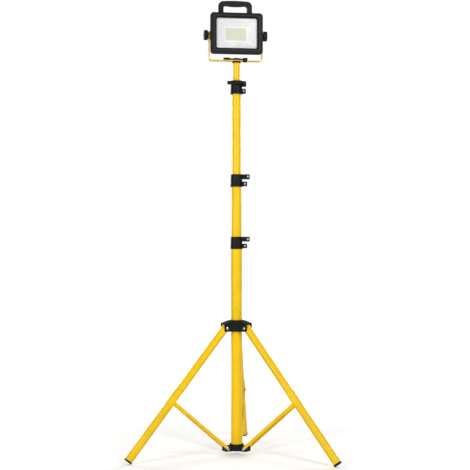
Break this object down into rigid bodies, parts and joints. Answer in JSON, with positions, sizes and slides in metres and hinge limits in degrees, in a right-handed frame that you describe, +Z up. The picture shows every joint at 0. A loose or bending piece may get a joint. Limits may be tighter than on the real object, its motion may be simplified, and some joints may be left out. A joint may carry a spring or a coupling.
{
  "type": "work light",
  "caption": "Tall telescopic tripod stand with a square flood lamp on a tilting U-bracket, a carrying handle, clamp levers and fold-up braced legs.",
  "frame": {"origin": "on the floor, on the mast's axis", "axes": "+Z up along the mast, the lamp faces -Y at rest, +X to the right when the lamp is looked at from the front"},
  "size_m": [0.7165, 0.6975, 1.603],
  "materials": {
    "yellow_paint": "gloss powder coat",
    "dark_plastic": "fine moulded texture",
    "grip_plastic": "fine moulded texture",
    "dark_housing": "dark textured powder coat",
    "glass": "clear tempered glass",
    "rubber": "matt",
    "reflector_white": "white, slightly glossy",
    "board_white": "white solder mask",
    "led_phosphor": "pale yellow phosphor",
    "bare_aluminium": "milled",
    "driver_case": "potted case",
    "steel": "zinc plated"
  },
  "bodies": {
    "mast_base": {"mast_tube_1": "yellow_paint", "brace_hub": "dark_plastic", "hub_pins": "steel", "clamp_body_1": "dark_plastic", "clamp_bolts_1": "steel"},
    "crown": {"leg_crown": "dark_plastic", "crown_pins": "steel"},
    "crown_lock": {"crown_lock_knob": "dark_plastic", "crown_lock_screw": "steel"},
    "leg_1": {"leg_1": "yellow_paint", "foot_cap_1": "rubber", "leg_saddle_1": "yellow_paint", "leg_rivets_1": "steel"},
    "brace_1": {"brace_1": "yellow_paint"},
    "leg_2": {"leg_2": "yellow_paint", "foot_cap_2": "rubber", "leg_saddle_2": "yellow_paint", "leg_rivets_2": "steel"},
    "brace_2": {"brace_2": "yellow_paint"},
    "leg_3": {"leg_3": "yellow_paint", "foot_cap_3": "rubber", "leg_saddle_3": "yellow_paint", "leg_rivets_3": "steel"},
    "brace_3": {"brace_3": "yellow_paint"},
    "section_2": {"mast_tube_2": "yellow_paint", "tube_guide_2": "dark_plastic", "clamp_body_2": "dark_plastic", "clamp_bolts_2": "steel"},
    "section_3": {"mast_tube_3": "yellow_paint", "tube_guide_3": "dark_plastic", "clamp_body_3": "dark_plastic", "clamp_bolts_3": "steel"},
    "section_4": {"mast_tube_4": "yellow_paint", "tube_guide_4": "dark_plastic", "top_plug": "dark_plastic", "top_stud": "steel"},
    "lever_1": {"clamp_lever_1": "dark_plastic"},
    "lever_2": {"clamp_lever_2": "dark_plastic"},
    "lever_3": {"clamp_lever_3": "dark_plastic"},
    "bracket": {"bracket": "yellow_paint", "bracket_clip": "dark_plastic"},
    "wing": {"wing_knob": "dark_plastic", "wing_bolt_cap": "steel"},
    "head": {"front_frame": "dark_housing", "front_glass": "glass", "gasket": "rubber", "rear_housing": "dark_housing", "reflector": "reflector_white", "led_board": "board_white", "led_chips": "led_phosphor", "heat_plate": "bare_aluminium", "led_driver": "driver_case", "wiring_box": "dark_plastic", "cable_gland": "dark_plastic", "head_screws": "steel", "handle": "grip_plastic", "tilt_studs": "steel", "friction_washers": "rubber"},
    "side_left": {"side_knob_left": "dark_plastic"},
    "side_right": {"side_knob_right": "dark_plastic"}
  },
  "joints": [
    {"name": "crown_slide", "type": "slide", "parent": "mast_base", "child": "crown", "axis": [0, 0, 1], "range_m": [0, 0.1642]},
    {"name": "crown_lock_turn", "type": "hinge", "parent": "crown", "child": "crown_lock", "pos_m": [-0.02229, 0.02007, 0.457], "axis": [-0.7431, 0.6691, 0], "continuous": true},
    {"name": "leg_fold_1", "type": "hinge", "parent": "crown", "child": "leg_1", "pos_m": [0.00921, 0.04333, 0.449], "axis": [-0.9781, 0.2079, 0], "range_deg": [0, 37.62]},
    {"name": "brace_fold_1", "type": "hinge", "parent": "mast_base", "child": "brace_1", "pos_m": [0.00884, 0.04157, 0.028], "axis": [-0.9781, 0.2079, 0], "range_deg": [-47.87, 0]},
    {"name": "leg_fold_2", "type": "hinge", "parent": "crown", "child": "leg_2", "pos_m": [0.03292, -0.02964, 0.449], "axis": [0.6691, 0.7431, 0], "range_deg": [0, 37.62]},
    {"name": "brace_fold_2", "type": "hinge", "parent": "mast_base", "child": "brace_2", "pos_m": [0.03158, -0.02844, 0.028], "axis": [0.6691, 0.7431, 0], "range_deg": [-47.87, 0]},
    {"name": "leg_fold_3", "type": "hinge", "parent": "crown", "child": "leg_3", "pos_m": [-0.04213, -0.01369, 0.449], "axis": [0.309, -0.9511, 0], "range_deg": [0, 37.62]},
    {"name": "brace_fold_3", "type": "hinge", "parent": "mast_base", "child": "brace_3", "pos_m": [-0.04042, -0.01313, 0.028], "axis": [0.309, -0.9511, 0], "range_deg": [-47.87, 0]},
    {"name": "mast_slide_2", "type": "slide", "parent": "mast_base", "child": "section_2", "axis": [0, 0, 1], "range_m": [-0.17, 0.19]},
    {"name": "mast_slide_3", "type": "slide", "parent": "section_2", "child": "section_3", "axis": [0, 0, 1], "range_m": [-0.27, 0.1]},
    {"name": "mast_slide_4", "type": "slide", "parent": "section_3", "child": "section_4", "axis": [0, 0, 1], "range_m": [-0.055, 0.21]},
    {"name": "lever_turn_1", "type": "hinge", "parent": "mast_base", "child": "lever_1", "pos_m": [0.04154, 0.00961, 0.762], "axis": [0, 0, 1], "range_deg": [-85, 0]},
    {"name": "lever_turn_2", "type": "hinge", "parent": "section_2", "child": "lever_2", "pos_m": [0.04154, 0.00961, 0.982], "axis": [0, 0, 1], "range_deg": [-85, 0]},
    {"name": "lever_turn_3", "type": "hinge", "parent": "section_3", "child": "lever_3", "pos_m": [0.0251, -0.01898, 1.312], "axis": [0, 0, 1], "range_deg": [0, 85]},
    {"name": "bracket_swivel", "type": "hinge", "parent": "section_4", "child": "bracket", "pos_m": [0, 0, 1.3905], "axis": [0, 0, 1], "range_deg": [-180, 180]},
    {"name": "wing_knob_turn", "type": "hinge", "parent": "bracket", "child": "wing", "pos_m": [0, 0, 1.3968], "axis": [0, 0, 1], "continuous": true},
    {"name": "head_tilt", "type": "hinge", "parent": "bracket", "child": "head", "pos_m": [-0.004, 0, 1.479], "axis": [1, 0, 0], "range_deg": [-90, 90]},
    {"name": "side_knob_turn_left", "type": "hinge", "parent": "head", "child": "side_left", "pos_m": [-0.109, 0, 1.479], "axis": [1, 0, 0], "continuous": true},
    {"name": "side_knob_turn_right", "type": "hinge", "parent": "head", "child": "side_right", "pos_m": [0.101, 0, 1.479], "axis": [1, 0, 0], "continuous": true}
  ],
  "couplings": [
    {"joint": "leg_fold_1", "follows": "crown_slide", "rad_per_m": 3.9987},
    {"joint": "brace_fold_1", "follows": "crown_slide", "rad_per_m": -5.0884},
    {"joint": "leg_fold_2", "follows": "crown_slide", "rad_per_m": 3.9987},
    {"joint": "brace_fold_2", "follows": "crown_slide", "rad_per_m": -5.0884},
    {"joint": "leg_fold_3", "follows": "crown_slide", "rad_per_m": 3.9987},
    {"joint": "brace_fold_3", "follows": "crown_slide", "rad_per_m": -5.0884}
  ]
}
